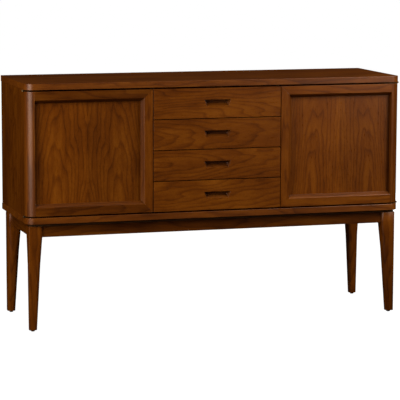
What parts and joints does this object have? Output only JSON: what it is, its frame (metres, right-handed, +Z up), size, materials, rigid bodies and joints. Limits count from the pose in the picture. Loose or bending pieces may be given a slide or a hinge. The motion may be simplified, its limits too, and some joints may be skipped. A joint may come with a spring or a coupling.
{
  "type": "sideboard buffet",
  "caption": "Mid-century walnut sideboard: rounded front corners, framed doors on pivot hinges, a central drawer stack with cut-out finger pulls, on an apron base with tapered legs.",
  "frame": {"origin": "on the floor, midway between the sides and between front and back", "axes": "+X along the width to the right, front faces -Y, +Z up"},
  "size_m": [1.537, 0.464, 0.955],
  "materials": {
    "walnut": "satin lacquered walnut veneer and solid walnut, warm red-brown",
    "walnut_interior": "matt lacquered walnut veneer",
    "back_ply": "walnut-faced plywood, matt",
    "drawer_maple": "clear lacquered maple",
    "hinge_brass": "aged brass",
    "zinc_steel": "zinc plated",
    "catch_plastic": "moulded, brown",
    "glide_nylon": "dark nylon"
  },
  "bodies": {
    "cabinet": {"top_board": "walnut", "bottom_board": "walnut", "left_side": "walnut", "right_side": "walnut", "left_divider": "walnut_interior", "right_divider": "walnut_interior", "back_panel": "back_ply", "back_screws": "zinc_steel", "left_shelf": "walnut_interior", "right_shelf": "walnut_interior", "shelf_pins": "hinge_brass", "front_left_leg": "walnut", "front_right_leg": "walnut", "back_left_leg": "walnut", "back_right_leg": "walnut", "glides": "glide_nylon", "front_apron": "walnut", "back_apron": "walnut", "left_apron": "walnut", "right_apron": "walnut", "corner_blocks": "walnut_interior", "leg_bolts": "zinc_steel", "base_spacers": "walnut_interior", "hinge_case_leaves": "hinge_brass", "magnet_catches": "catch_plastic", "drawer_runners": "drawer_maple"},
    "left_door": {"left_door_outer_stile": "walnut", "left_door_inner_stile": "walnut", "left_door_top_rail": "walnut", "left_door_bottom_rail": "walnut", "left_door_panel": "walnut", "left_door_hinge_leaves": "hinge_brass", "left_door_strikes": "zinc_steel"},
    "right_door": {"right_door_outer_stile": "walnut", "right_door_inner_stile": "walnut", "right_door_top_rail": "walnut", "right_door_bottom_rail": "walnut", "right_door_panel": "walnut", "right_door_hinge_leaves": "hinge_brass", "right_door_strikes": "zinc_steel"},
    "drawer_1": {"drawer_1_front": "walnut", "drawer_1_left_side": "drawer_maple", "drawer_1_right_side": "drawer_maple", "drawer_1_back": "drawer_maple", "drawer_1_bottom": "drawer_maple"},
    "drawer_2": {"drawer_2_front": "walnut", "drawer_2_left_side": "drawer_maple", "drawer_2_right_side": "drawer_maple", "drawer_2_back": "drawer_maple", "drawer_2_bottom": "drawer_maple"},
    "drawer_3": {"drawer_3_front": "walnut", "drawer_3_left_side": "drawer_maple", "drawer_3_right_side": "drawer_maple", "drawer_3_back": "drawer_maple", "drawer_3_bottom": "drawer_maple"},
    "drawer_4": {"drawer_4_front": "walnut", "drawer_4_left_side": "drawer_maple", "drawer_4_right_side": "drawer_maple", "drawer_4_back": "drawer_maple", "drawer_4_bottom": "drawer_maple"}
  },
  "joints": [
    {"name": "left_door_hinge", "type": "hinge", "parent": "cabinet", "child": "left_door", "pos_m": [-0.764, -0.195, 0.6865], "axis": [0, 0, -1], "range_deg": [0, 110]},
    {"name": "right_door_hinge", "type": "hinge", "parent": "cabinet", "child": "right_door", "pos_m": [0.764, -0.195, 0.6865], "axis": [0, 0, 1], "range_deg": [0, 110]},
    {"name": "drawer_1_slide", "type": "slide", "parent": "cabinet", "child": "drawer_1", "axis": [0, -1, 0], "range_m": [0, 0.3]},
    {"name": "drawer_2_slide", "type": "slide", "parent": "cabinet", "child": "drawer_2", "axis": [0, -1, 0], "range_m": [0, 0.3]},
    {"name": "drawer_3_slide", "type": "slide", "parent": "cabinet", "child": "drawer_3", "axis": [0, -1, 0], "range_m": [0, 0.3]},
    {"name": "drawer_4_slide", "type": "slide", "parent": "cabinet", "child": "drawer_4", "axis": [0, -1, 0], "range_m": [0, 0.3]}
  ]
}
